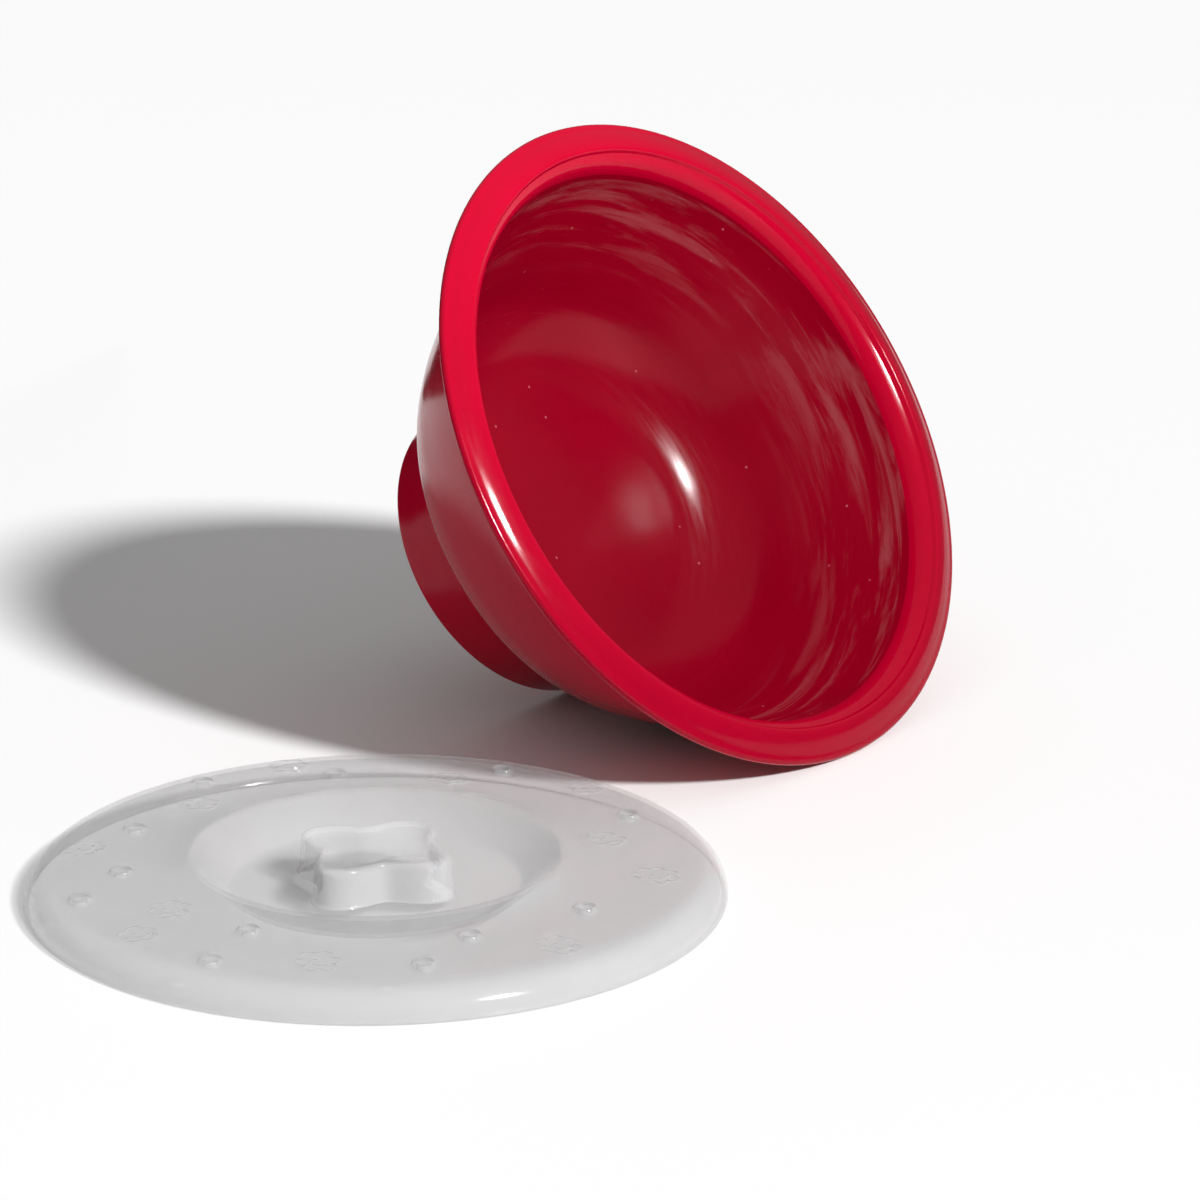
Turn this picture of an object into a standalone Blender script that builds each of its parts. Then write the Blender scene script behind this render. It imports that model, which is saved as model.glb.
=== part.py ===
"""Microwave popcorn maker: a turned plastic bowl tipped onto its side, with its loose lid flat beside it."""

import math

import bmesh
import bpy

MM = 0.001
STEPS = 80  # facets round each turned piece

# Bowl, measured along its own axis from the foot's underside
RIM_RADIUS = 142.5 * MM  # lip's outermost edge
RIM_HEIGHT = 120.8 * MM
FOOT_RADIUS = 65.6 * MM
EDGE_ROUND = 2.0 * MM  # on the lip and on the foot, the two edges that it lies on
BOWL_X = 117.5 * MM
BOWL_Y = 113.5 * MM

# Lid
LID_RADIUS = 134.0 * MM
LID_X = -126.0 * MM
LID_Y = -14.5 * MM
VENT_HOLE_RADIUS = 2.8 * MM
VENT_COLLAR_RADIUS = 4.6 * MM
VENT_COLLAR_LOW = 12.6 * MM  # inside the shell's thickness
VENT_COLLAR_TOP = 14.9 * MM
VENTS = (  # distance from the lid's centre in mm, and angle in degrees
    (110, 13),
    (96, 50),
    (112, 78),
    (99, 110),
    (97, 138),
    (117, 150),
    (90, 189),
    (119, 190),
    (112, 229),
    (92, 242),
    (97, 273),
    (107, 334),
)

# Grip
GRIP_MEAN_RADIUS = 28.0 * MM
GRIP_LOBE = 6.0 * MM  # the four arms stand this far out, and the hollows this far in
GRIP_TURN = math.radians(5.0)
GRIP_FLOOR = 4.5 * MM
GRIP_TOP = 19.6 * MM
GRIP_WALL = 1.8 * MM

# The lip and the foot touch the table together, so their edges set the tilt.
TILT = math.atan2(RIM_RADIUS - FOOT_RADIUS, RIM_HEIGHT - EDGE_ROUND)
LEAN = math.pi / 2 - TILT  # the bowl's axis, turned from upright towards -Y
FOOT_EDGE = FOOT_RADIUS - EDGE_ROUND
BOWL_Z = EDGE_ROUND + FOOT_EDGE * math.cos(TILT) - EDGE_ROUND * math.sin(TILT)


def clear_scene():
    for obj in list(bpy.data.objects):
        bpy.data.objects.remove(obj, do_unlink=True)


def new_collection(name, hidden=False):
    collection = bpy.data.collections.new(name)
    collection.hide_render = hidden
    bpy.context.scene.collection.children.link(collection)
    return collection


def plastic(name, colour, roughness, alpha=1.0):
    material = bpy.data.materials.new(name)
    material.use_nodes = True
    shader = material.node_tree.nodes["Principled BSDF"]
    shader.inputs["Base Color"].default_value = (*colour, 1.0)
    shader.inputs["Roughness"].default_value = roughness
    shader.inputs["Metallic"].default_value = 0.0
    shader.inputs["Alpha"].default_value = alpha
    material.diffuse_color = (*colour, alpha)
    return material


def arc(centre_r, centre_z, radius, angles):
    """Points of a rounded edge, in mm, at these angles in degrees."""
    return [
        (
            centre_r + radius * math.cos(math.radians(angle)),
            centre_z + radius * math.sin(math.radians(angle)),
        )
        for angle in angles
    ]


def turned(name, profile, closed, collection, material, parent):
    """A profile of (radius, height) points in mm, screwed once round its parent's axis."""
    mesh = bpy.data.meshes.new(name)
    points = [(r * MM, 0.0, z * MM) for r, z in profile]
    edges = [(i, i + 1) for i in range(len(points) - 1)]
    if closed:
        edges.append((len(points) - 1, 0))
    mesh.from_pydata(points, edges, [])
    obj = bpy.data.objects.new(name, mesh)
    collection.objects.link(obj)
    obj.data.materials.append(material)
    obj.parent = parent
    screw = obj.modifiers.new("Turn", "SCREW")
    screw.axis = "Z"
    screw.steps = STEPS
    screw.render_steps = STEPS
    screw.use_merge_vertices = True
    screw.merge_threshold = 0.00001
    return obj


def cylinder(name, radius, low, high, x, y, collection, parent):
    mesh = bpy.data.meshes.new(name)
    shape = bmesh.new()
    bmesh.ops.create_cone(
        shape,
        cap_ends=True,
        segments=20,
        radius1=radius,
        radius2=radius,
        depth=high - low,
    )
    shape.to_mesh(mesh)
    shape.free()
    obj = bpy.data.objects.new(name, mesh)
    collection.objects.link(obj)
    obj.location = (x, y, (low + high) / 2)
    obj.parent = parent
    obj.display_type = "WIRE"
    obj.hide_render = True
    return obj


def boolean(obj, name, operation, collection):
    modifier = obj.modifiers.new(name, "BOOLEAN")
    modifier.operation = operation
    modifier.operand_type = "COLLECTION"
    modifier.collection = collection
    modifier.solver = "EXACT"
    return modifier


def grip_outline(inset):
    """Four rounded arms round a cross, as points of a closed outline."""
    points = []
    for i in range(96):
        angle = 2 * math.pi * i / 96
        radius = (
            GRIP_MEAN_RADIUS
            + GRIP_LOBE * math.cos(4 * (angle - GRIP_TURN))
            - inset
        )
        points.append((radius * math.cos(angle), radius * math.sin(angle), 0.0))
    return points


def extruded_outline(name, outline, low, high, rounding, collection, parent):
    """A filled 2D curve, extruded and rounded at both ends, then made a mesh."""
    curve = bpy.data.curves.new(name, "CURVE")
    curve.dimensions = "2D"
    curve.fill_mode = "BOTH"
    spline = curve.splines.new("POLY")
    spline.points.add(len(outline) - 1)
    for point, (x, y, z) in zip(spline.points, outline):
        point.co = (x, y, z, 1.0)
    spline.use_cyclic_u = True
    curve.extrude = (high - low) / 2 - rounding
    curve.bevel_depth = rounding
    curve.bevel_resolution = 2
    curve.offset = -rounding
    source = bpy.data.objects.new(name + "_curve", curve)
    collection.objects.link(source)
    bpy.context.view_layer.update()
    graph = bpy.context.evaluated_depsgraph_get()
    mesh = bpy.data.meshes.new_from_object(source.evaluated_get(graph))
    bpy.data.objects.remove(source, do_unlink=True)
    shape = bmesh.new()
    shape.from_mesh(mesh)
    bmesh.ops.remove_doubles(shape, verts=shape.verts, dist=0.000005)
    bmesh.ops.recalc_face_normals(shape, faces=shape.faces)
    shape.to_mesh(mesh)
    shape.free()
    obj = bpy.data.objects.new(name, mesh)
    obj.location = (0.0, 0.0, (low + high) / 2)
    collection.objects.link(obj)
    obj.parent = parent
    return obj


clear_scene()
parts = new_collection("popcorn_maker")
cutters = new_collection("cutters", hidden=True)
vent_collars = bpy.data.collections.new("vent_collars")
vent_holes = bpy.data.collections.new("vent_holes")
grip_cuts = bpy.data.collections.new("grip_cuts")
for group in (vent_collars, vent_holes, grip_cuts):
    cutters.children.link(group)

red_gloss = plastic("bowl_red_gloss", (0.62, 0.0, 0.022), 0.12)
red_foot = plastic("foot_red_gloss", (0.50, 0.0, 0.020), 0.2)
frosted = plastic("lid_frosted", (0.82, 0.82, 0.83), 0.38, 0.55)
clear = plastic("grip_clear", (0.88, 0.88, 0.89), 0.12, 0.4)

bowl_frame = bpy.data.objects.new("bowl_frame", None)
bowl_frame.location = (BOWL_X, BOWL_Y, BOWL_Z)
bowl_frame.rotation_euler = (LEAN, 0.0, 0.0)
parts.objects.link(bowl_frame)

lid_frame = bpy.data.objects.new("lid_frame", None)
lid_frame.location = (LID_X, LID_Y, 0.0)
parts.objects.link(lid_frame)

# Bowl: steep wall, wide flange that turns down into a rounded lip, and a seat for the lid inside it
lip_r, lip_z = (RIM_RADIUS - EDGE_ROUND) / MM, RIM_HEIGHT / MM
tilt = math.degrees(TILT)
bowl_profile = [
    (0.0, 34.2),
    (30.0, 34.4),
    (60.0, 34.9),
    (70.0, 36.6),
    (78.8, 40.6),
    (86.0, 45.8),
    (91.4, 51.2),
    (95.0, 56.4),
    (99.0, 63.4),
    (104.2, 72.8),
    (109.2, 82.8),
    (113.9, 93.0),
    (118.2, 103.0),
    (121.2, 112.0),
    (122.8, 118.4),
    (123.4, 122.0),
    (124.2, 123.4),
    (125.4, 124.0),
    (127.2, 124.1),
    (128.2, 124.7),
    (128.9, 125.8),
    (130.0, 126.2),
    (132.6, 125.9),
    (136.4, 124.7),
    (139.2, 123.4),
]
bowl_profile += arc(lip_r, lip_z, EDGE_ROUND / MM, (60, 35, 10, -12, -tilt, -60, -90))
bowl_profile += [
    (139.4, 116.8),
    (138.4, 116.2),
    (137.2, 116.6),
    (136.2, 118.4),
    (134.6, 119.2),
    (131.4, 118.2),
    (128.2, 115.4),
    (126.4, 111.0),
    (122.2, 101.0),
    (117.6, 90.8),
    (112.8, 80.8),
    (107.7, 70.8),
    (102.4, 60.8),
    (98.0, 53.8),
    (95.3, 49.8),
    (92.0, 46.0),
    (86.8, 41.2),
    (80.0, 36.6),
    (73.6, 33.2),
    (68.0, 31.5),
    (64.0, 31.0),
    (0.0, 31.0),
]
bowl = turned("bowl", bowl_profile, False, parts, red_gloss, bowl_frame)

# Foot: an open ring under the bowl, with a flat top that meets it
foot_r = FOOT_EDGE / MM
foot_profile = [
    (57.0, 30.7),
    (63.4, 30.7),
    (67.6, 30.9),
    (68.3, 30.4),
    (67.9, 24.0),
    (66.9, 14.0),
    (66.0, 5.0),
]
foot_profile += arc(foot_r, EDGE_ROUND / MM, EDGE_ROUND / MM, (0, -tilt, -60, -90))
foot_profile += [
    (60.4, 0.0),
    (59.8, 0.6),
    (60.8, 5.0),
    (61.9, 14.0),
    (63.0, 24.0),
    (62.4, 27.4),
    (60.8, 28.5),
    (57.0, 28.7),
]
foot = turned("foot_ring", foot_profile, True, parts, red_foot, bowl_frame)

# Lid: a thin shell with a rounded outer band, a low rise round a sunken dish, and steam vents
lid_profile = [
    (0.0, 4.2),
    (53.0, 4.2),
    (55.0, 4.5),
    (56.8, 5.6),
    (69.0, 16.6),
    (70.0, 17.3),
    (71.2, 17.4),
    (74.0, 16.8),
    (80.0, 15.4),
    (88.0, 14.5),
    (96.0, 14.1),
    (110.0, 13.5),
    (122.0, 12.6),
    (126.6, 11.6),
    (130.0, 9.4),
    (132.7, 6.0),
    (133.8, 2.4),
    (134.0, 0.5),
    (133.7, 0.0),
    (131.7, 0.0),
    (131.5, 0.6),
    (131.9, 2.4),
    (131.1, 5.2),
    (128.9, 8.2),
    (125.9, 10.1),
    (122.0, 11.0),
    (110.0, 11.9),
    (96.0, 12.5),
    (88.0, 12.9),
    (80.0, 13.8),
    (74.0, 15.1),
    (71.4, 15.7),
    (70.4, 15.5),
    (57.9, 4.2),
    (55.8, 2.9),
    (53.0, 2.6),
    (0.0, 2.6),
]
lid = turned("lid", lid_profile, False, parts, frosted, lid_frame)
for number, (radius, angle) in enumerate(VENTS, 1):
    x = radius * MM * math.cos(math.radians(angle))
    y = radius * MM * math.sin(math.radians(angle))
    collar = (f"collar_{number}", VENT_COLLAR_RADIUS, VENT_COLLAR_LOW, VENT_COLLAR_TOP)
    cylinder(*collar, x, y, vent_collars, lid_frame)
    hole = (f"hole_{number}", VENT_HOLE_RADIUS, 8.0 * MM, 20.0 * MM)
    cylinder(*hole, x, y, vent_holes, lid_frame)
boolean(lid, "Collars", "UNION", vent_collars)
boolean(lid, "Holes", "DIFFERENCE", vent_holes)

# Grip: a hollow four-armed knob, open underneath, that stands in the lid's dish
grip = extruded_outline(
    "lid_grip",
    grip_outline(0.0),
    GRIP_FLOOR - 3 * MM,
    GRIP_TOP,
    1.4 * MM,
    parts,
    lid_frame,
)
grip.data.materials.clear()
grip.data.materials.append(clear)
cavity = extruded_outline(
    "grip_cavity",
    grip_outline(GRIP_WALL),
    GRIP_FLOOR - 5 * MM,
    GRIP_TOP - GRIP_WALL,
    0.8 * MM,
    grip_cuts,
    lid_frame,
)
cavity.display_type = "WIRE"
cavity.hide_render = True
cylinder(
    "grip_base_cut", 50 * MM, GRIP_FLOOR - 9 * MM, GRIP_FLOOR, 0.0, 0.0, grip_cuts, lid_frame
)
boolean(grip, "Hollow", "DIFFERENCE", grip_cuts)
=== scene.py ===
"""Microwave popcorn maker: the finished look of the tipped bowl, its foot, the lid and its grip."""

import math

import bmesh
import bpy
from mathutils import Matrix, Vector


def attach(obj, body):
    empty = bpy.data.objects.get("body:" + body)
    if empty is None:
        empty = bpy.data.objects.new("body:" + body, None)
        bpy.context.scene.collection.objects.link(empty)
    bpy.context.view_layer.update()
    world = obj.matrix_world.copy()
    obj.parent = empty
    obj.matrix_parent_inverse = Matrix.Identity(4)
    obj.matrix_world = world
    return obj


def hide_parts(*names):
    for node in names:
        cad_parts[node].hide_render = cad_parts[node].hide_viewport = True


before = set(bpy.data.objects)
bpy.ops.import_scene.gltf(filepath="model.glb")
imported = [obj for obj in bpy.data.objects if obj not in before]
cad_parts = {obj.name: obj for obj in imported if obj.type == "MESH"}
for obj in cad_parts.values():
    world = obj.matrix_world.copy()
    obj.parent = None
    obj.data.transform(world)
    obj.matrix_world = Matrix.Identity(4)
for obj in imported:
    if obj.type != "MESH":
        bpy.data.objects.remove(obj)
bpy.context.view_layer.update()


# Camera: a long lens above the table, looking down 18 degrees across the lid to the bowl's mouth.
# It stands two metres away, so that the round rim and the round lid keep their true proportions.
camera_data = bpy.data.cameras.new("camera")
camera_data.lens = 157.7
camera_data.sensor_width = 36.0
camera = bpy.data.objects.new("camera", camera_data)
camera.location = (-1.5546, -1.2331, 0.7116)
camera.rotation_euler = Vector((0.75255, 0.58510, -0.30220)).to_track_quat("-Z", "Y").to_euler()
bpy.context.scene.collection.objects.link(camera)
bpy.context.scene.camera = camera


# Studio: one far lamp, high in front of the bowl's mouth, lights the table and the lid. A near lamp
# lights the bowl, so it is darker lower down, and the far lamp's gloss gives it its highlights.
# The ceiling glows more than the walls. The colours are shown as they are, without a film look.
bpy.context.scene.view_settings.view_transform = "Standard"
bpy.context.scene.view_settings.look = "None"


def add_lamp(name, kind, towards, lights_only=None, **settings):
    """A lamp that shines this way, on everything or only on the pieces of one collection."""
    lamp_data = bpy.data.lights.new(name, kind)
    for setting, value in settings.items():
        setattr(lamp_data, setting, value)
    lamp = bpy.data.objects.new(name, lamp_data)
    lamp.rotation_euler = Vector(towards).to_track_quat("-Z", "Y").to_euler()
    lamp.light_linking.receiver_collection = lights_only
    bpy.context.scene.collection.objects.link(lamp)
    return lamp


low_pieces = bpy.data.collections.new("table_and_lid")
bowl_pieces = bpy.data.collections.new("bowl_and_foot")
FAR_WAY, NEAR_WAY = (0.11, 1.31, -1.0), (0.1, 1.0, -0.4)
far_light = {"energy": 5.0, "angle": math.radians(7)}
near_light = {"energy": 3.4, "shape": "DISK", "size": 0.08}
add_lamp("far_lamp", "SUN", FAR_WAY, low_pieces, **far_light)
near_lamp = add_lamp("near_lamp", "AREA", NEAR_WAY, bowl_pieces, **near_light)
near_lamp.location = (0.02, -0.285, 0.51)
near_lamp.visible_glossy = False
far_gleam = add_lamp("far_gleam", "SUN", FAR_WAY, bowl_pieces, **far_light)
far_gleam.visible_diffuse = False


def linear(colour):
    """An sRGB hex colour as the linear values that a shader takes."""
    parts = [int(colour[i : i + 2], 16) / 255 for i in (1, 3, 5)]
    values = [c / 12.92 if c <= 0.04045 else ((c + 0.055) / 1.055) ** 2.4 for c in parts]
    return (*values, 1.0)


def add_node(owner, kind, settings=None, links=None):
    """Adds a node, with values for its properties or sockets, and links into its sockets."""
    tree = owner.node_tree
    node = tree.nodes.new(kind)
    for name, value in (settings or {}).items():
        if isinstance(name, int) or name in node.inputs:
            node.inputs[name].default_value = value
        else:
            setattr(node, name, value)
    for name, source in (links or {}).items():
        tree.links.new(source, node.inputs[name])
    return node


room = bpy.data.worlds.new("studio_room")
room.use_nodes = True
way_out = add_node(room, "ShaderNodeTexCoord")
height = add_node(room, "ShaderNodeSeparateXYZ", links={0: way_out.outputs["Generated"]})
glow = add_node(
    room,
    "ShaderNodeMapRange",
    {"From Min": 0.0, "From Max": 1.0, "To Min": 0.12, "To Max": 0.50},
    {"Value": height.outputs["Z"]},
)
walls = room.node_tree.nodes["Background"]
walls.inputs["Color"].default_value = (1.0, 1.0, 1.0, 1.0)
room.node_tree.links.new(glow.outputs["Result"], walls.inputs["Strength"])
# A white backcloth hangs beyond the table, too far away to light the object.
backcloth = add_node(room, "ShaderNodeBackground", {"Color": linear("#FAFAFA")})
seen = add_node(room, "ShaderNodeLightPath")
either = add_node(
    room,
    "ShaderNodeMixShader",
    links={0: seen.outputs["Is Camera Ray"], 1: walls.outputs[0], 2: backcloth.outputs[0]},
)
room.node_tree.links.new(either.outputs[0], room.node_tree.nodes["World Output"].inputs["Surface"])
bpy.context.scene.world = room


# Table: a plain white laminate sheet, far larger than the object, with the faint orange peel of
# its press plate.
def new_material(name, settings):
    """A material with one Principled shader that has these socket values."""
    material = bpy.data.materials.new(name)
    material.use_nodes = True
    shader = material.node_tree.nodes["Principled BSDF"]
    for socket, value in settings.items():
        shader.inputs[socket].default_value = value
    return material, shader


TABLE_RADIUS, TABLE_DROP = 14.0, 0.0004
table_sheet = bpy.data.meshes.new("table")
table_shape = bmesh.new()
bmesh.ops.create_circle(table_shape, cap_ends=True, segments=64, radius=TABLE_RADIUS)
table_shape.to_mesh(table_sheet)
table_shape.free()
table = bpy.data.objects.new("table", table_sheet)
bpy.context.scene.collection.objects.link(table)
table.location = (0.0, 0.0, -TABLE_DROP)
laminate, laminate_shader = new_material(
    "pressed_white_laminate", {"Base Color": linear("#E6E6E6"), "Roughness": 0.5, "IOR": 1.45}
)
table_place = add_node(laminate, "ShaderNodeTexCoord")
orange_peel = add_node(
    laminate,
    "ShaderNodeTexNoise",
    {"Scale": 1 / 0.004, "Detail": 1.0},
    {"Vector": table_place.outputs["Object"]},
)
peel_bump = add_node(
    laminate,
    "ShaderNodeBump",
    {"Strength": 0.03, "Distance": 0.0003},
    {"Height": orange_peel.outputs["Fac"]},
)
laminate.node_tree.links.new(peel_bump.outputs["Normal"], laminate_shader.inputs["Normal"])
table.data.materials.append(laminate)
low_pieces.objects.link(table)

# A dark sheet stands behind the bowl, its lower edge aslant. Only gloss shows it: it is a painted
# dark reflection, which deepens the red of the bowl's far side.
REFLECTION_SHEET_Y, REFLECTION_SHEET_LEFT, REFLECTION_SHEET_RIGHT, REFLECTION_SHEET_TOP, REFLECTION_SHEET_SLANT = 0.62, -0.50, 0.42, 0.30, 0.16
painted_reflection_corners = (
    (REFLECTION_SHEET_LEFT, REFLECTION_SHEET_Y, REFLECTION_SHEET_SLANT),
    (REFLECTION_SHEET_RIGHT, REFLECTION_SHEET_Y, 0.0),
    (REFLECTION_SHEET_RIGHT, REFLECTION_SHEET_Y, REFLECTION_SHEET_TOP),
    (REFLECTION_SHEET_LEFT, REFLECTION_SHEET_Y, REFLECTION_SHEET_TOP),
)
painted_reflection_mesh = bpy.data.meshes.new("painted_reflection_sheet")
painted_reflection_shape = bmesh.new()
painted_reflection_shape.faces.new([painted_reflection_shape.verts.new(corner) for corner in painted_reflection_corners])
painted_reflection_shape.to_mesh(painted_reflection_mesh)
painted_reflection_shape.free()
painted_reflection_sheet = bpy.data.objects.new("painted_reflection_sheet", painted_reflection_mesh)
bpy.context.scene.collection.objects.link(painted_reflection_sheet)
painted_reflection_black, _ = new_material("painted_reflection_black_sheet", {"Base Color": linear("#1A1A1A"), "Roughness": 0.9})
painted_reflection_sheet.data.materials.append(painted_reflection_black)
# Hidden from the camera, from diffuse light and from shadows, the sheet only paints a dark reflection.
painted_reflection_sheet.visible_camera = False
painted_reflection_sheet.visible_diffuse = False
painted_reflection_sheet.visible_transmission = False
painted_reflection_sheet.visible_shadow = False


# Bowl: one injection moulding in red polypropylene, from a polished steel mould. The wall is about
# 3.5 mm thick, and the flange turns down into a hollow rounded lip. Popping has left the inside
# greasy, with wiped smears and a few grains of salt; the inside's darker red is painted shade, and
# the smears' grey is partly a painted reflection. It lies on its lip and its foot's edge.
RIM_RADIUS, RIM_HEIGHT, FOOT_RADIUS, EDGE_ROUND = 0.1425, 0.1208, 0.0656, 0.002
tilt = math.atan2(RIM_RADIUS - FOOT_RADIUS, RIM_HEIGHT - EDGE_ROUND)
foot_edge = FOOT_RADIUS - EDGE_ROUND
BOWL_X, BOWL_Y = 0.1175, 0.1135
bowl_z = EDGE_ROUND + foot_edge * math.cos(tilt) - EDGE_ROUND * math.sin(tilt)
bowl_place = Matrix.Translation((BOWL_X, BOWL_Y, bowl_z)) @ Matrix.Rotation(math.pi / 2 - tilt, 4, "X")


def flowing(points, share=4):
    """Points on a smooth curve through these (radius, height) points, this many for each step."""
    result = []
    for i in range(len(points) - 1):
        before = points[max(i - 1, 0)]
        a, b = points[i], points[i + 1]
        after = points[min(i + 2, len(points) - 1)]
        length = math.dist(a, b)
        start_share = length / (math.dist(before, a) + length)
        end_share = length / (math.dist(b, after) + length)
        start = [(b[k] - before[k]) * start_share for k in (0, 1)]
        end = [(after[k] - a[k]) * end_share for k in (0, 1)]
        for step in range(share):
            t = step / share
            h = (2 * t**3 - 3 * t**2 + 1, t**3 - 2 * t**2 + t, 3 * t**2 - 2 * t**3, t**3 - t**2)
            result.append(
                tuple(h[0] * a[k] + h[1] * start[k] + h[2] * b[k] + h[3] * end[k] for k in (0, 1))
            )
    result.append(points[-1])
    return result


WELD = 0.000004  # points closer than this are one


def turned(name, profile, steps, place):
    """A profile of (radius, height) points in mm, spun round the Z axis, then put in its place."""
    mesh = bpy.data.meshes.new(name)
    shape = bmesh.new()
    corners = [shape.verts.new((max(r, 0.0) / 1000, 0.0, z / 1000)) for r, z in profile]
    edges = [shape.edges.new(pair) for pair in zip(corners, corners[1:])]
    bmesh.ops.spin(
        shape,
        geom=corners + edges,
        axis=(0.0, 0.0, 1.0),
        cent=(0.0, 0.0, 0.0),
        angle=2 * math.pi,
        steps=steps,
        use_merge=True,
    )
    bmesh.ops.remove_doubles(shape, verts=shape.verts, dist=WELD)
    bmesh.ops.recalc_face_normals(shape, faces=shape.faces)
    bmesh.ops.transform(shape, matrix=place, verts=shape.verts)
    for face in shape.faces:
        face.smooth = True
    shape.to_mesh(mesh)
    shape.free()
    piece = bpy.data.objects.new(name, mesh)
    bpy.context.scene.collection.objects.link(piece)
    return piece


def edge_arc(centre_radius, centre_height, angles):
    """Points, in mm, of an edge rounded about this centre, in metres, at these angles in degrees."""
    points = []
    for angle in angles:
        r = centre_radius + EDGE_ROUND * math.cos(math.radians(angle))
        z = centre_height + EDGE_ROUND * math.sin(math.radians(angle))
        points.append((1000 * r, 1000 * z))
    return points


inside = flowing(
    [
        (0.0, 34.2),
        (30.0, 34.4),
        (60.0, 34.9),
        (70.0, 36.6),
        (78.8, 40.6),
        (86.0, 45.8),
        (91.4, 51.2),
        (95.0, 56.4),
        (99.0, 63.4),
        (104.2, 72.8),
        (109.2, 82.8),
        (113.9, 93.0),
        (118.2, 103.0),
        (120.6, 111.0),
        (121.7, 115.6),
    ]
)
seat_and_flange = flowing(
    [
        (121.7, 115.6),
        (122.4, 118.2),
        (123.5, 120.6),
        (125.0, 122.5),
        (126.8, 123.7),
        (127.8, 124.3),
        (128.3, 125.2),
        (128.8, 126.0),
        (129.6, 126.3),
        (130.6, 126.3),
        (133.0, 125.8),
        (136.4, 124.6),
        (139.2, 123.3),
    ]
    + edge_arc(RIM_RADIUS - EDGE_ROUND, RIM_HEIGHT, (60, 35, 10, -12, -math.degrees(tilt), -60, -90))
    + [
        (139.4, 117.4),
        (138.4, 116.3),
        (137.2, 116.7),
        (136.2, 118.2),
        (134.6, 119.0),
        (131.4, 118.2),
        (128.2, 115.4),
        (126.2, 111.0),
    ]
)
outside = flowing(
    [
        (126.2, 111.0),
        (122.2, 101.0),
        (117.6, 90.8),
        (112.8, 80.8),
        (107.7, 70.8),
        (102.4, 60.8),
        (98.0, 53.8),
        (95.3, 49.8),
        (92.0, 46.0),
        (86.8, 41.2),
        (80.0, 36.6),
        (73.6, 33.2),
        (68.0, 31.5),
        (64.0, 31.0),
        (48.0, 31.0),
    ]
)
# Under the bowl, inside the foot, are two moulded rings and the nub left by the mould's gate.
underside = [(48.0, 31.0)]
ring_section = ((1.2, 31.0), (0.8, 30.4), (-0.8, 30.4), (-1.2, 31.0))
for ring_radius in (42.0, 20.0):
    underside += [(ring_radius + r, z) for r, z in ring_section]
underside += [(5.0, 31.0), (4.6, 30.2), (2.0, 30.0), (1.6, 29.2), (0.0, 29.0)]
BOWL_STEPS = 288
bowl_profile = inside[:-1] + seat_and_flange[:-1] + outside[:-1] + underside
bowl = turned("moulded_bowl", bowl_profile, BOWL_STEPS, bowl_place)


def red_polypropylene(name, colour, deeper, shine, dullest):
    """Moulded and polished red plastic, with this colour's flow into a deeper one."""
    material, shader = new_material(name, {"IOR": 1.49, "Specular IOR Level": 0.14})
    place = add_node(material, "ShaderNodeTexCoord")
    along_axis = add_node(
        material,
        "ShaderNodeMapping",
        {
            "vector_type": "TEXTURE",
            "Location": (BOWL_X, BOWL_Y, bowl_z),
            "Rotation": (math.pi / 2 - tilt, 0.0, 0.0),
        },
        {"Vector": place.outputs["Object"]},
    )
    # The pigment is a little denser where the plastic flowed last, in clouds about 40 mm across.
    clouds = add_node(
        material,
        "ShaderNodeTexNoise",
        {"Scale": 1 / 0.040, "Detail": 2.0, "Roughness": 0.5},
        {"Vector": along_axis.outputs["Vector"]},
    )
    pigment = add_node(
        material,
        "ShaderNodeMix",
        {"data_type": "RGBA", 6: linear(colour), 7: linear(deeper)},
        {0: clouds.outputs["Fac"]},
    )
    # Washing leaves hairline scratches round the bowl, drawn 1 mm apart so that they show.
    scratch_way = add_node(
        material,
        "ShaderNodeMapping",
        {"Scale": (40.0, 40.0, 1000.0)},
        {"Vector": along_axis.outputs["Vector"]},
    )
    scratches = add_node(
        material,
        "ShaderNodeTexNoise",
        {"Scale": 1.0, "Detail": 3.0, "Roughness": 0.6},
        {"Vector": scratch_way.outputs["Vector"]},
    )
    gloss = add_node(
        material,
        "ShaderNodeMapRange",
        {"From Min": 0.35, "From Max": 0.75, "To Min": shine, "To Max": dullest},
        {"Value": scratches.outputs["Fac"]},
    )
    # Cooling leaves faint long waves, about 12 mm apart, in a polished wall.
    waves = add_node(
        material,
        "ShaderNodeTexNoise",
        {"Scale": 1 / 0.012, "Detail": 1.0, "Roughness": 0.4},
        {"Vector": along_axis.outputs["Vector"]},
    )
    wave_bump = add_node(
        material,
        "ShaderNodeBump",
        {"Strength": 0.10, "Distance": 0.0005},
        {"Height": waves.outputs["Fac"]},
    )
    scratch_bump = add_node(
        material,
        "ShaderNodeBump",
        {"Strength": 0.04, "Distance": 0.00005},
        {"Height": scratches.outputs["Fac"], "Normal": wave_bump.outputs["Normal"]},
    )
    links = material.node_tree.links
    links.new(pigment.outputs[2], shader.inputs["Base Color"])
    links.new(gloss.outputs["Result"], shader.inputs["Roughness"])
    links.new(scratch_bump.outputs["Normal"], shader.inputs["Normal"])
    return material, shader, along_axis, pigment, gloss


outer_red, *_ = red_polypropylene("moulded_red_polypropylene", "#B20028", "#A90024", 0.10, 0.18)
bowl.data.materials.append(outer_red)

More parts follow.
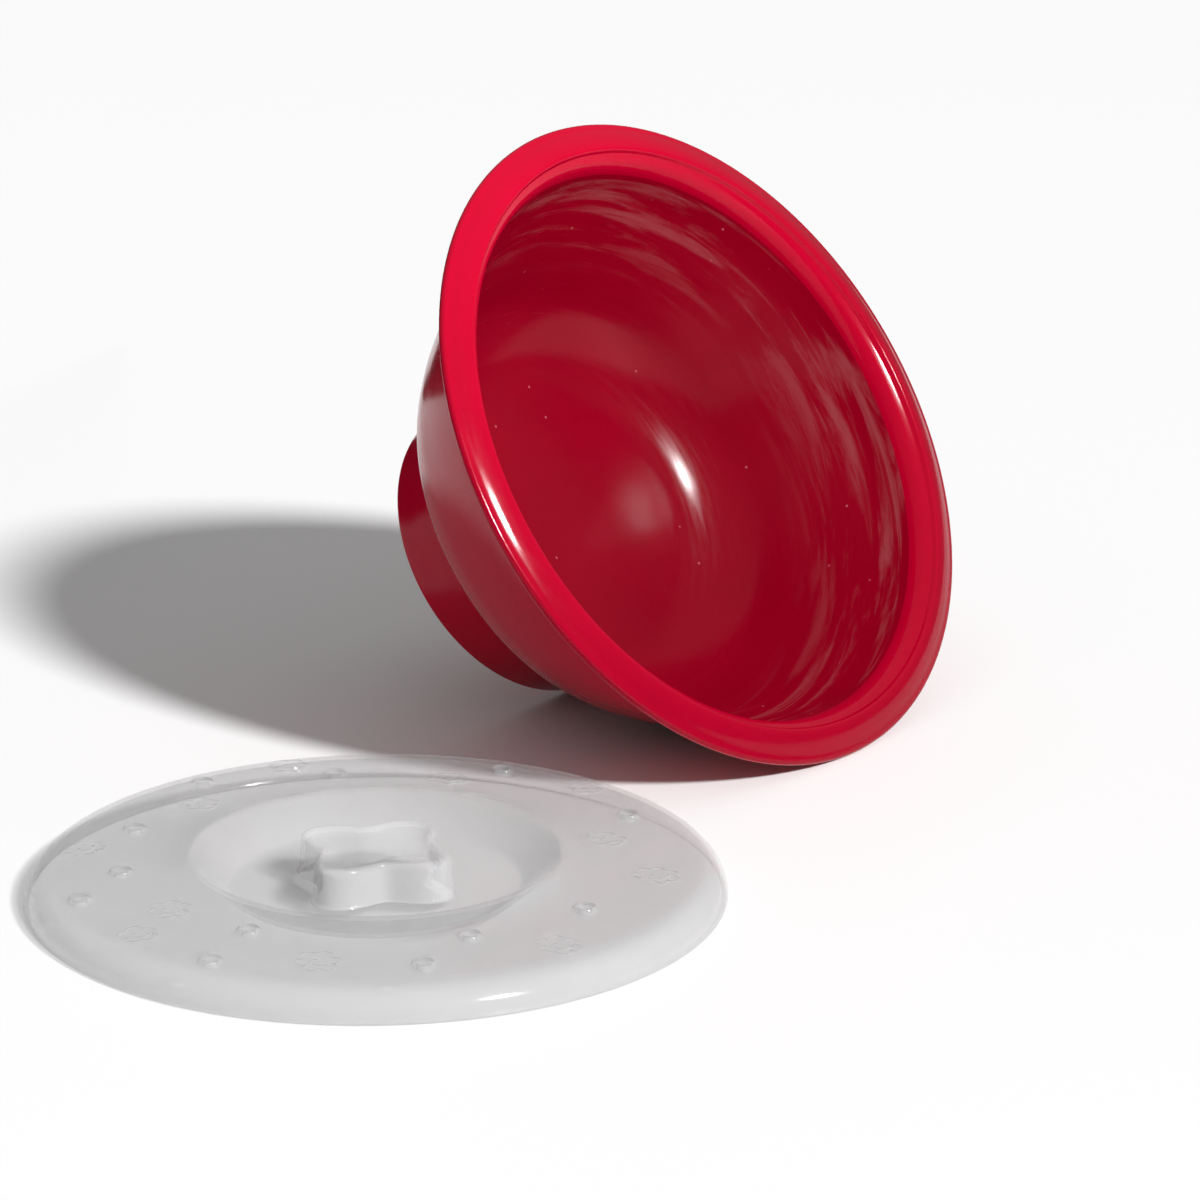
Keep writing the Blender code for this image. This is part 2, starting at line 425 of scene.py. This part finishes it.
# Inside, the red is painted darker, as shade inside the bowl, under a film of cooking oil. Wiping
# drew the oil into greyish smears round the wall, about 7 mm wide and thickest below the flange,
# their grey partly a painted reflection in the oil, and salt left pale specks about 1 mm wide.
# The inside's colours are darker than the outside's: painted shade inside the bowl.
inner_red, inner_shader, inner_place, inner_shaded_tone, inner_gloss = red_polypropylene(
    "oiled_and_shade_darkened_red_polypropylene", "#92001D", "#840019", 0.14, 0.30
)
across = add_node(
    inner_red,
    "ShaderNodeVectorMath",
    {"operation": "MULTIPLY", 1: (1.0, 1.0, 0.0)},
    {0: inner_place.outputs["Vector"]},
)
way_round = add_node(
    inner_red, "ShaderNodeVectorMath", {"operation": "NORMALIZE"}, {0: across.outputs["Vector"]}
)
wall_place = add_node(
    inner_red,
    "ShaderNodeVectorMath",
    {"operation": "MULTIPLY_ADD", 1: (0.0, 0.0, 1 / 0.011)},
    {0: inner_place.outputs["Vector"], 2: way_round.outputs["Vector"]},
)
# The oil smears are real streaks; their pale grey colour is a painted reflection in the oil.
smear_and_reflection_noise = add_node(
    inner_red,
    "ShaderNodeTexNoise",
    {"Scale": 1.6, "Detail": 5.0, "Roughness": 0.62, "Distortion": 0.5},
    {"Vector": wall_place.outputs["Vector"]},
)
inner_height = add_node(
    inner_red, "ShaderNodeSeparateXYZ", links={0: inner_place.outputs["Vector"]}
)
below_flange = add_node(
    inner_red,
    "ShaderNodeMapRange",
    {"interpolation_type": "SMOOTHSTEP", "From Min": 0.062, "From Max": 0.106},
    {"Value": inner_height.outputs["Z"]},
)
smear_and_reflection_edge = add_node(
    inner_red,
    "ShaderNodeMapRange",
    {"interpolation_type": "SMOOTHSTEP", "From Min": 0.46, "From Max": 0.68},
    {"Value": smear_and_reflection_noise.outputs["Fac"]},
)
smear_and_reflection_amount = add_node(
    inner_red,
    "ShaderNodeMath",
    {"operation": "MULTIPLY"},
    {0: smear_and_reflection_edge.outputs["Result"], 1: below_flange.outputs["Result"]},
)
# Mixes in the smears' pale grey, a painted reflection.
smeared_and_reflecting = add_node(
    inner_red,
    "ShaderNodeMix",
    {"data_type": "RGBA", 7: linear("#983E45")},
    {0: smear_and_reflection_amount.outputs["Value"], 6: inner_shaded_tone.outputs[2]},
)
grains = add_node(
    inner_red,
    "ShaderNodeTexVoronoi",
    {"Scale": 1 / 0.008},
    {"Vector": inner_place.outputs["Vector"]},
)
grain_dot = add_node(
    inner_red,
    "ShaderNodeMapRange",
    {"From Min": 0.05, "From Max": 0.09, "To Min": 1.0, "To Max": 0.0},
    {"Value": grains.outputs["Distance"]},
)
grain_choice = add_node(
    inner_red, "ShaderNodeSeparateColor", links={0: grains.outputs["Color"]}
)
few = add_node(
    inner_red,
    "ShaderNodeMath",
    {"operation": "GREATER_THAN", 1: 0.72},
    {0: grain_choice.outputs["Red"]},
)
grain_amount = add_node(
    inner_red,
    "ShaderNodeMath",
    {"operation": "MULTIPLY"},
    {0: grain_dot.outputs["Result"], 1: few.outputs["Value"]},
)
salted = add_node(
    inner_red,
    "ShaderNodeMix",
    {"data_type": "RGBA", 7: linear("#B5545C")},
    {0: grain_amount.outputs["Value"], 6: smeared_and_reflecting.outputs[2]},
)
inner_red.node_tree.links.new(salted.outputs[2], inner_shader.inputs["Base Color"])
greasy_gloss = add_node(
    inner_red,
    "ShaderNodeMath",
    {"operation": "MULTIPLY_ADD", 1: 0.22},
    {0: smear_and_reflection_amount.outputs["Value"], 2: inner_gloss.outputs["Result"]},
)
inner_red.node_tree.links.new(greasy_gloss.outputs["Value"], inner_shader.inputs["Roughness"])
bowl.data.materials.append(inner_red)

# The inside faces are those from the bowl's floor up to the inner edge of the flange.
MOUTH_HEIGHT, FLOOR_HEIGHT = 0.1164, 0.034
to_bowl = bowl_place.inverted()
for face in bowl.data.polygons:
    level = (to_bowl @ face.center).z
    faces_in = (to_bowl.to_3x3() @ face.normal).z > 0.0
    if faces_in and FLOOR_HEIGHT < level < MOUTH_HEIGHT:
        face.material_index = 1
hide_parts("bowl")
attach(bowl, "bowl")
bowl_pieces.objects.link(bowl)


# Foot: a ring in the same polypropylene, fixed under the bowl, with a sharp crease where the two meet.
# It is moulded with a rounded standing edge and a little draft outside and in.
foot_outside = flowing([(68.3, 30.4), (67.9, 24.0), (66.9, 14.0), (66.0, 5.0)])
foot_inside = flowing(
    [(60.0, 1.6), (60.8, 5.0), (61.9, 14.0), (63.0, 24.0), (62.4, 27.4), (60.8, 28.5), (57.0, 28.7)]
)
foot_profile = (
    [(57.0, 28.7), (57.0, 30.7), (63.4, 30.7), (67.6, 30.9)]
    + foot_outside
    + edge_arc(foot_edge, EDGE_ROUND, (0, -15, -math.degrees(tilt), -60, -75, -90))
    + [(60.4, 0.0), (59.9, 0.5)]
    + foot_inside
)
foot = turned("foot_moulding", foot_profile, BOWL_STEPS, bowl_place)
foot.data.materials.append(outer_red)
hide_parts("foot_ring")
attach(foot, "bowl")
bowl_pieces.objects.link(foot)


# Lid: thin natural polypropylene, milky and see-through, moulded with a rounded outer band, a raised
# ring, a sunken dish, steam vents in round collars, and raised outlines of popped corn.
LID_X, LID_Y = -0.126, -0.0145
lid_place = Matrix.Translation((LID_X, LID_Y, 0.0))
lid_top = [
    (0.0, 4.2),
    (30.0, 4.2),
    (53.0, 4.2),
    (55.0, 4.5),
    (56.8, 5.6),
    (58.6, 7.3),
    (67.4, 15.3),
    (69.0, 16.6),
    (70.0, 17.3),
    (71.2, 17.4),
    (74.0, 16.8),
    (77.0, 16.0),
    (80.0, 15.4),
    (88.0, 14.5),
    (96.0, 14.1),
    (110.0, 13.5),
    (116.0, 13.1),
    (122.0, 12.6),
    (126.6, 11.6),
    (130.0, 9.4),
    (132.7, 6.0),
    (133.8, 2.4),
    (134.0, 0.5),
]
lid_under = [
    (133.7, 0.0),
    (131.7, 0.0),
    (131.5, 0.6),
    (131.9, 2.4),
    (131.1, 5.2),
    (128.9, 8.2),
    (125.9, 10.1),
    (122.0, 11.0),
    (110.0, 11.9),
    (96.0, 12.5),
    (88.0, 12.9),
    (80.0, 13.8),
    (74.0, 15.1),
    (71.4, 15.7),
    (70.4, 15.5),
    (57.9, 4.2),
    (55.8, 2.9),
    (53.0, 2.6),
    (0.0, 2.6),
]
LID_STEPS = 360
lid = turned("moulded_lid", flowing(lid_top) + flowing(lid_under), LID_STEPS, lid_place)


def top_height(radius):
    """The lid's upper surface, in mm, at this distance from its centre."""
    for (r0, z0), (r1, z1) in zip(lid_top, lid_top[1:]):
        if r0 <= radius <= r1:
            return z0 + (z1 - z0) * (radius - r0) / (r1 - r0)
    raise ValueError(radius)


def joined(name, pieces):
    """These pieces' meshes as one piece; the pieces themselves are removed."""
    shape = bmesh.new()
    for piece in pieces:
        shape.from_mesh(piece.data)
        bpy.data.objects.remove(piece)
    mesh = bpy.data.meshes.new(name)
    shape.to_mesh(mesh)
    shape.free()
    piece = bpy.data.objects.new(name, mesh)
    bpy.context.scene.collection.objects.link(piece)
    return piece


def combine(piece, steps):
    """Adds these pieces to the first or takes them away, then removes them."""
    for operation, other in steps:
        modifier = piece.modifiers.new(operation, "BOOLEAN")
        modifier.solver = "MANIFOLD"
        modifier.operation = operation
        modifier.object = other
    bpy.context.view_layer.update()
    made = piece.evaluated_get(bpy.context.evaluated_depsgraph_get())
    piece.data = bpy.data.meshes.new_from_object(made)
    piece.modifiers.clear()
    for _, other in steps:
        bpy.data.objects.remove(other)


VENT_RADIUS, VENT_STEPS, VENT_CUT = 2.8, 40, 6.0
vents = (  # distance from the lid's centre in mm, and angle in degrees
    (110, 13),
    (96, 50),
    (112, 78),
    (99, 110),
    (97, 138),
    (117, 150),
    (90, 189),
    (119, 190),
    (112, 229),
    (92, 242),
    (97, 273),
    (107, 334),
)
collar_profile = (  # from inside the lid's wall, out, over the rounded top and back
    [(1.0, -0.9), (5.2, -0.9)]
    + flowing([(4.9, 0.0), (4.7, 0.9), (4.3, 1.6), (3.8, 1.9), (3.3, 1.75), (2.95, 1.3)])
    + [(1.0, 1.3), (1.0, -0.9)]
)
hole_profile = [(0.0, -VENT_CUT), (VENT_RADIUS, -VENT_CUT), (VENT_RADIUS, VENT_CUT), (0.0, VENT_CUT)]
collars, holes = [], []
for distance, angle in vents:
    x = distance * math.cos(math.radians(angle)) / 1000
    y = distance * math.sin(math.radians(angle)) / 1000
    stand = lid_place @ Matrix.Translation((x, y, top_height(distance) / 1000))
    collars.append(turned("collar", collar_profile, VENT_STEPS, stand))
    holes.append(turned("hole", hole_profile, VENT_STEPS, stand))

# Each raised outline is a puffed kernel: five to seven lobes and one curled fold inside them. Its
# line is a little more than half sunk in the lid.
PUFF_LINE, PUFF_SINK = 0.75, 0.1
puffs = (  # distance in mm, angle and turn in degrees, size in mm, lobes
    (114, -6, 20, 8.5, 6),
    (92, 22, 75, 8.0, 5),
    (114, 58, 10, 8.5, 6),
    (92, 88, 40, 7.5, 5),
    (113, 122, 95, 8.5, 7),
    (93, 165, 30, 8.5, 6),
    (115, 171, 60, 7.5, 5),
    (108, 209, 15, 9.0, 6),
    (114, 256, 50, 8.5, 6),
    (108, 298, 80, 9.0, 7),
    (90, 320, 35, 7.5, 5),
)


def raised_line(points, closed):
    """A round line along these points, in mm, sunk in the lid's upper surface."""
    curve = bpy.data.curves.new("raised_line", "CURVE")
    curve.dimensions = "3D"
    curve.bevel_depth = PUFF_LINE / 1000
    curve.bevel_resolution = 2
    curve.use_fill_caps = True
    spline = curve.splines.new("POLY")
    spline.points.add(len(points) - 1)
    spline.use_cyclic_u = closed
    for corner, (px, py) in zip(spline.points, points):
        level = top_height(math.hypot(px, py)) - PUFF_SINK
        corner.co = (px / 1000 + LID_X, py / 1000 + LID_Y, level / 1000, 1.0)
    source = bpy.data.objects.new("raised_line", curve)
    bpy.context.scene.collection.objects.link(source)
    bpy.context.view_layer.update()
    made = source.evaluated_get(bpy.context.evaluated_depsgraph_get())
    mesh = bpy.data.meshes.new_from_object(made)
    bpy.data.objects.remove(source)
    weld = bmesh.new()
    weld.from_mesh(mesh)
    bmesh.ops.remove_doubles(weld, verts=weld.verts, dist=WELD / 2)
    bmesh.ops.recalc_face_normals(weld, faces=weld.faces)
    weld.to_mesh(mesh)
    weld.free()
    piece = bpy.data.objects.new("raised_line", mesh)
    bpy.context.scene.collection.objects.link(piece)
    return piece


OUTLINE_POINTS, FOLD_POINTS = 72, 20
lines = []
for distance, angle, turn, size, lobes in puffs:
    cx = distance * math.cos(math.radians(angle))
    cy = distance * math.sin(math.radians(angle))
    outline, fold = [], []
    for i in range(OUTLINE_POINTS):
        a = 2 * math.pi * i / OUTLINE_POINTS
        r = size * (0.66 + 0.30 * abs(math.cos(lobes * a / 2)) ** 0.7 + 0.06 * math.sin(2 * a))
        a += math.radians(turn)
        outline.append((cx + r * math.cos(a), cy + r * math.sin(a)))
    for i in range(FOLD_POINTS):
        a = math.radians(turn + 40 + 11 * i)
        r = size * (0.18 + 0.018 * i)
        fold.append((cx + r * math.cos(a), cy + r * math.sin(a)))
    lines.append(raised_line(outline, True))
    lines.append(raised_line(fold, False))
combine(
    lid,
    [
        ("UNION", joined("collars", collars)),
        ("UNION", joined("lines", lines)),
        ("DIFFERENCE", joined("holes", holes)),
    ],
)
SHARPEST_SMOOTH = math.radians(35)
lid.data.set_sharp_from_angle(angle=SHARPEST_SMOOTH)


def natural_polypropylene(name, settings, thin, thick, shine, dullest):
    """Unpigmented moulded plastic, milky and see-through, whiter where it is thick."""
    material, shader = new_material(name, {"IOR": 1.49, **settings})
    place = add_node(material, "ShaderNodeTexCoord")
    from_centre = add_node(
        material,
        "ShaderNodeMapping",
        {"vector_type": "TEXTURE", "Location": (LID_X, LID_Y, 0.0)},
        {"Vector": place.outputs["Object"]},
    )
    # Crystals grow unevenly as it cools: milky clouds about 25 mm across.
    clouds = add_node(
        material,
        "ShaderNodeTexNoise",
        {"Scale": 1 / 0.025, "Detail": 3.0, "Roughness": 0.55, "Distortion": 0.4},
        {"Vector": from_centre.outputs["Vector"]},
    )
    flat_place = add_node(
        material,
        "ShaderNodeVectorMath",
        {"operation": "MULTIPLY", 1: (1.0, 1.0, 0.0)},
        {0: from_centre.outputs["Vector"]},
    )
    distance = add_node(
        material, "ShaderNodeVectorMath", {"operation": "LENGTH"}, {0: flat_place.outputs["Vector"]}
    )
    band = add_node(
        material,
        "ShaderNodeMapRange",
        {"interpolation_type": "SMOOTHSTEP", "From Min": 0.119, "From Max": 0.132, "To Max": 0.8},
        {"Value": distance.outputs["Value"]},
    )
    dish = add_node(
        material,
        "ShaderNodeMapRange",
        {"interpolation_type": "SMOOTHSTEP", "From Min": 0.072, "From Max": 0.054, "To Max": 0.5},
        {"Value": distance.outputs["Value"]},
    )
    thickness = add_node(
        material,
        "ShaderNodeMath",
        {"operation": "ADD"},
        {0: band.outputs["Result"], 1: dish.outputs["Result"]},
    )
    cloudy = add_node(
        material,
        "ShaderNodeMath",
        {"operation": "MULTIPLY_ADD", 1: 0.35, "use_clamp": True},
        {0: clouds.outputs["Fac"], 2: thickness.outputs["Value"]},
    )
    milk = add_node(
        material,
        "ShaderNodeMix",
        {"data_type": "RGBA", 6: linear(thin), 7: linear(thick)},
        {0: cloudy.outputs["Value"]},
    )
    # The mould was turned on a lathe: fine rings, drawn 1.2 mm apart so that they show.
    rings = add_node(
        material,
        "ShaderNodeMath",
        {"operation": "MULTIPLY", 1: 2 * math.pi / 0.0012},
        {0: distance.outputs["Value"]},
    )
    ring_wave = add_node(
        material, "ShaderNodeMath", {"operation": "SINE"}, {0: rings.outputs["Value"]}
    )
    scuffs = add_node(
        material,
        "ShaderNodeTexNoise",
        {"Scale": 1 / 0.006, "Detail": 6.0, "Roughness": 0.7},
        {"Vector": from_centre.outputs["Vector"]},
    )
    satin = add_node(
        material,
        "ShaderNodeMapRange",
        {"From Min": 0.3, "From Max": 0.7, "To Min": shine, "To Max": dullest},
        {"Value": scuffs.outputs["Fac"]},
    )
    ring_bump = add_node(
        material,
        "ShaderNodeBump",
        {"Strength": 0.10, "Distance": 0.00003},
        {"Height": ring_wave.outputs["Value"]},
    )
    sink_bump = add_node(
        material,
        "ShaderNodeBump",
        {"Strength": 0.18, "Distance": 0.0006},
        {"Height": clouds.outputs["Fac"], "Normal": ring_bump.outputs["Normal"]},
    )
    links = material.node_tree.links
    links.new(milk.outputs[2], shader.inputs["Base Color"])
    links.new(satin.outputs["Result"], shader.inputs["Roughness"])
    links.new(sink_bump.outputs["Normal"], shader.inputs["Normal"])
    return material


milky = natural_polypropylene(
    "satin_natural_polypropylene",
    {"Alpha": 0.24, "Specular IOR Level": 1.0},
    "#9C9C9D",
    "#BCBCBD",
    0.06,
    0.15,
)
# The joined pieces bring empty slots with them, so the lid starts again with one.
lid.data.materials.clear()
lid.data.materials.append(milky)
for face in lid.data.polygons:
    face.material_index = 0
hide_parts("lid")
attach(lid, "lid")
low_pieces.objects.link(lid)


# Grip: the same plastic from a polished part of the mould, so clearer, a hollow four-armed knob
# that stands in the lid's dish and is open underneath.
GRIP_MEAN, GRIP_ARM, GRIP_TURN = 28.0, 6.0, math.radians(5.0)
ARMS_GONE = 20.0  # this far inside the outline, in mm, the section is round
GRIP_POINTS, GRIP_EDGE = 192, 2.6
GRIP_MIDDLE, GRIP_CEILING = 18.7, 17.1  # heights in mm of the top's sunken middle and of the hollow
edge_steps = [math.pi / 2 * i / 9 for i in range(10)]
grip_sections = (  # how far inside the outline, and height, in mm
    [(-0.9, 4.25), (-0.45, 4.4), (-0.15, 4.8), (0.0, 5.6), (0.25, 10.0), (0.5, 16.0)]
    + [(0.55 + GRIP_EDGE * (1 - math.cos(a)), 17.0 + GRIP_EDGE * math.sin(a)) for a in edge_steps]
    + [(4.0, 19.5), (5.2, 19.2), (6.8, 18.95), (10.0, 18.8), (17.0, 18.75)]
)
cavity_sections = (
    [(17.0, GRIP_CEILING), (10.0, GRIP_CEILING), (6.0, GRIP_CEILING), (3.6, 17.0)]
    + [(2.3 + 0.8 * (1 - math.sin(a)), 16.2 + 0.8 * math.cos(a)) for a in (0.3, 0.8, 1.2, math.pi / 2)]
    + [(2.05, 10.0), (1.8, 5.0), (1.8, 4.25)]
)
grip_mesh = bpy.data.meshes.new("moulded_grip")
grip_shape = bmesh.new()
loops = []
for inset, level in grip_sections + cavity_sections:
    loop = []
    for i in range(GRIP_POINTS):
        a = 2 * math.pi * i / GRIP_POINTS
        arm = GRIP_ARM * max(0.0, 1 - inset / ARMS_GONE)
        r = GRIP_MEAN + arm * math.cos(4 * (a - GRIP_TURN)) - inset
        loop.append(grip_shape.verts.new((r * math.cos(a) / 1000, r * math.sin(a) / 1000, level / 1000)))
    loops.append(loop)
top_end = len(grip_sections) - 1
for i, (lower, upper) in enumerate(zip(loops, loops[1:] + loops[:1])):
    if i == top_end:
        continue
    for j in range(GRIP_POINTS):
        k = (j + 1) % GRIP_POINTS
        grip_shape.faces.new((lower[j], lower[k], upper[k], upper[j]))
for rim, level in ((loops[top_end], GRIP_MIDDLE), (loops[top_end + 1], GRIP_CEILING)):
    middle = grip_shape.verts.new((0.0, 0.0, level / 1000))
    for j in range(GRIP_POINTS):
        grip_shape.faces.new((rim[j], rim[(j + 1) % GRIP_POINTS], middle))
bmesh.ops.recalc_face_normals(grip_shape, faces=grip_shape.faces)
bmesh.ops.transform(grip_shape, matrix=lid_place, verts=grip_shape.verts)
for face in grip_shape.faces:
    face.smooth = True
grip_shape.to_mesh(grip_mesh)
grip_shape.free()
grip = bpy.data.objects.new("moulded_grip", grip_mesh)
bpy.context.scene.collection.objects.link(grip)
clear = natural_polypropylene(
    "polished_natural_polypropylene",
    {"Alpha": 0.22, "Specular IOR Level": 1.0},
    "#D4D4D6",
    "#E4E4E5",
    0.03,
    0.08,
)
grip.data.materials.append(clear)
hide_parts("lid_grip")
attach(grip, "lid")
low_pieces.objects.link(grip)
